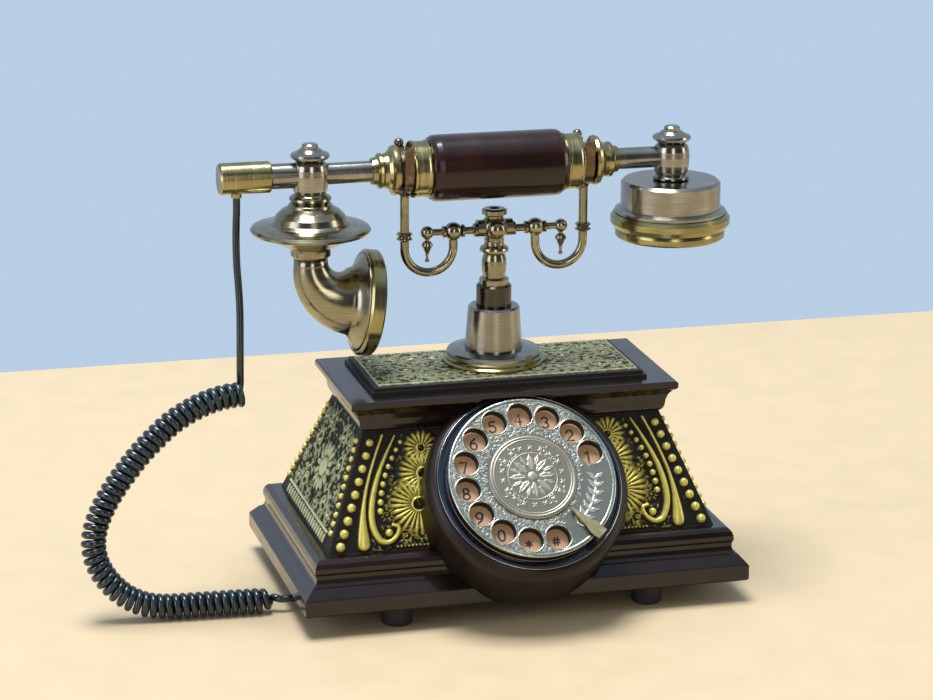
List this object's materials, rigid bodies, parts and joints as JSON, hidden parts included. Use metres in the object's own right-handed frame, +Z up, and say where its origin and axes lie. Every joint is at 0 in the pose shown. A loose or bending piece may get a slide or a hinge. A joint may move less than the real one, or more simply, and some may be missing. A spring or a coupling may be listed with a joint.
{
  "type": "rotary desk telephone",
  "caption": "Ornate desk telephone: stepped base with a tilted finger-wheel dial, sprung cradle on a turned column, and a handset with horn mouthpiece, ear cup and curly cord.",
  "frame": {"origin": "on the table, under the centre of the rectangular base", "axes": "+X to the user's right along the handset, -Y towards the user and the dial, +Z up"},
  "size_m": [0.3344, 0.1691, 0.2291],
  "materials": {
    "lacquered_wood": "dark mahogany under gloss lacquer",
    "black_board": "matt black moulded base plate",
    "foot_rubber": "matt black rubber",
    "steel_screws": "plain steel",
    "gilt_relief": "black ground with rubbed gilt relief",
    "dark_bezel": "blue-black gloss",
    "tan_plate": "tan card with dark digits",
    "gilt_brass": "brushed and lacquered",
    "zinc_plate": "zinc plated",
    "gear_brass": "machined",
    "spring_steel": "blued",
    "silvered_dial": "engraved, silvered, polished at the rims",
    "medallion_pewter": "matt grey-brown with an etched rosette",
    "pewter": "antiqued pewter, brushed",
    "antique_brass": "antiqued, dark in the hollows",
    "dark_steel": "dark brushed",
    "copper_brown": "copper brown",
    "red_brown_wood": "reddish-brown, satin lacquer",
    "black_plastic": "moulded black",
    "circuit_green": "circuit board green",
    "cord_sheath": "dark teal-black, glossy"
  },
  "bodies": {
    "base": {"plinth": "lacquered_wood", "bottom_plate": "black_board", "feet": "foot_rubber", "bottom_screws": "steel_screws", "body_shell": "gilt_relief", "cornice": "lacquered_wood", "top_plate": "gilt_relief", "dial_housing": "lacquered_wood", "dial_bezel": "dark_bezel", "number_plate": "tan_plate", "finger_stop": "gilt_brass", "dial_frame": "zinc_plate", "spindle_bush": "gear_brass", "mainspring": "spring_steel", "column_flange": "gilt_brass", "column_disc": "pewter", "column_sleeve": "pewter", "hook_switch": "black_plastic", "hook_spring": "spring_steel", "circuit_board": "circuit_green", "ringer_speaker": "black_plastic", "line_socket": "black_plastic", "handset_jack": "black_plastic", "cord_plug": "black_plastic", "cord_tail": "cord_sheath", "cord_curl": "cord_sheath", "cord_lead": "cord_sheath"},
    "cradle": {"hook_plunger": "dark_steel", "cradle_stem": "antique_brass", "cradle_boss": "antique_brass", "cradle_arms": "antique_brass", "hook_left": "antique_brass", "hook_right": "antique_brass", "fork_left": "copper_brown", "fork_right": "copper_brown", "drop_finials": "antique_brass"},
    "handset": {"handset_tube": "pewter", "grip": "red_brown_wood", "grip_ferrules": "gilt_brass", "bell_collars": "gilt_brass", "end_cap": "gilt_brass", "mouthpiece_boss": "pewter", "earpiece_boss": "pewter", "boss_finials": "pewter", "mouthpiece_brim": "antique_brass", "mouthpiece_horn": "antique_brass", "horn_rim": "gilt_brass", "microphone_grille": "black_plastic", "microphone_capsule": "black_plastic", "ear_cup": "pewter", "ear_cap": "gilt_brass", "receiver_capsule": "black_plastic"},
    "dial": {"finger_wheel": "silvered_dial", "medallion": "medallion_pewter", "dial_spindle": "zinc_plate", "drive_gear": "gear_brass"},
    "pulse_train": {"pulse_shaft": "zinc_plate"},
    "governor": {"governor": "gear_brass"},
    "ringer_slide": {"ringer_knob": "black_plastic"}
  },
  "joints": [
    {"name": "dial_turn", "type": "hinge", "parent": "base", "child": "dial", "pos_m": [0, -0.0705, 0.074], "axis": [0, 0.7604, -0.6494], "range_deg": [0, 318], "stiffness_Nm_per_rad": 0.012, "springref_deg": -34.38},
    {"name": "pulse_train_spin", "type": "hinge", "parent": "base", "child": "pulse_train", "pos_m": [-0.02255, -0.07583, 0.06776], "axis": [0, 0.7604, -0.6494], "range_deg": [-1210, 0]},
    {"name": "governor_spin", "type": "hinge", "parent": "base", "child": "governor", "pos_m": [-0.00314, -0.08499, 0.05703], "axis": [0, 0.7604, -0.6494], "range_deg": [0, 4600]},
    {"name": "handset_lift", "type": "slide", "parent": "base", "child": "handset", "axis": [0, 0, 1], "range_m": [0, 0.1]},
    {"name": "hook_rise", "type": "slide", "parent": "base", "child": "cradle", "axis": [0, 0, 1], "range_m": [0, 0.004], "stiffness_N_per_m": 150, "springref_m": 0.004, "deforming": ["hook_spring"]},
    {"name": "ringer_switch", "type": "slide", "parent": "base", "child": "ringer_slide", "axis": [1, 0, 0], "range_m": [0, 0.008]}
  ],
  "couplings": [
    {"joint": "pulse_train_spin", "follows": "dial_turn", "ratio": -3.8},
    {"joint": "governor_spin", "follows": "dial_turn", "ratio": 14.44},
    {"joint": "hook_rise", "follows": "handset_lift", "ratio": 0.04}
  ]
}
